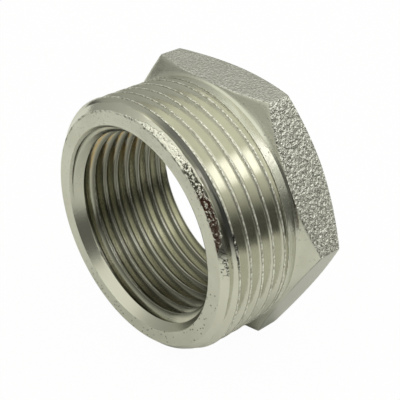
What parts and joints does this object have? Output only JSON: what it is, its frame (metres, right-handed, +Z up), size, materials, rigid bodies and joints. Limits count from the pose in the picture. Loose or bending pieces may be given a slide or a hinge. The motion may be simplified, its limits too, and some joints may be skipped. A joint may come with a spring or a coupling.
{
  "type": "hex bushing",
  "caption": "Short nickel plated brass reducing bushing with a male pipe thread, a hex head and a smaller female pipe thread through its middle.",
  "frame": {"origin": "on the bore axis, 6.6 mm inside the hex end face and 15.6 mm from the male end face, where the coned front of the hex head reaches its corners", "axes": "+Y along the bore axis from the male thread end to the hex end; +Z up, square to the hex flat that faces up while the bushing lies on the opposite flat; +X through a corner of the hex"},
  "size_m": [0.0484, 0.0222, 0.042],
  "materials": {
    "nickel_plated_brass": "satin nickel plate over forged and turned brass"
  },
  "bodies": {
    "root": {"bushing_body": "nickel_plated_brass"}
  },
  "joints": []
}
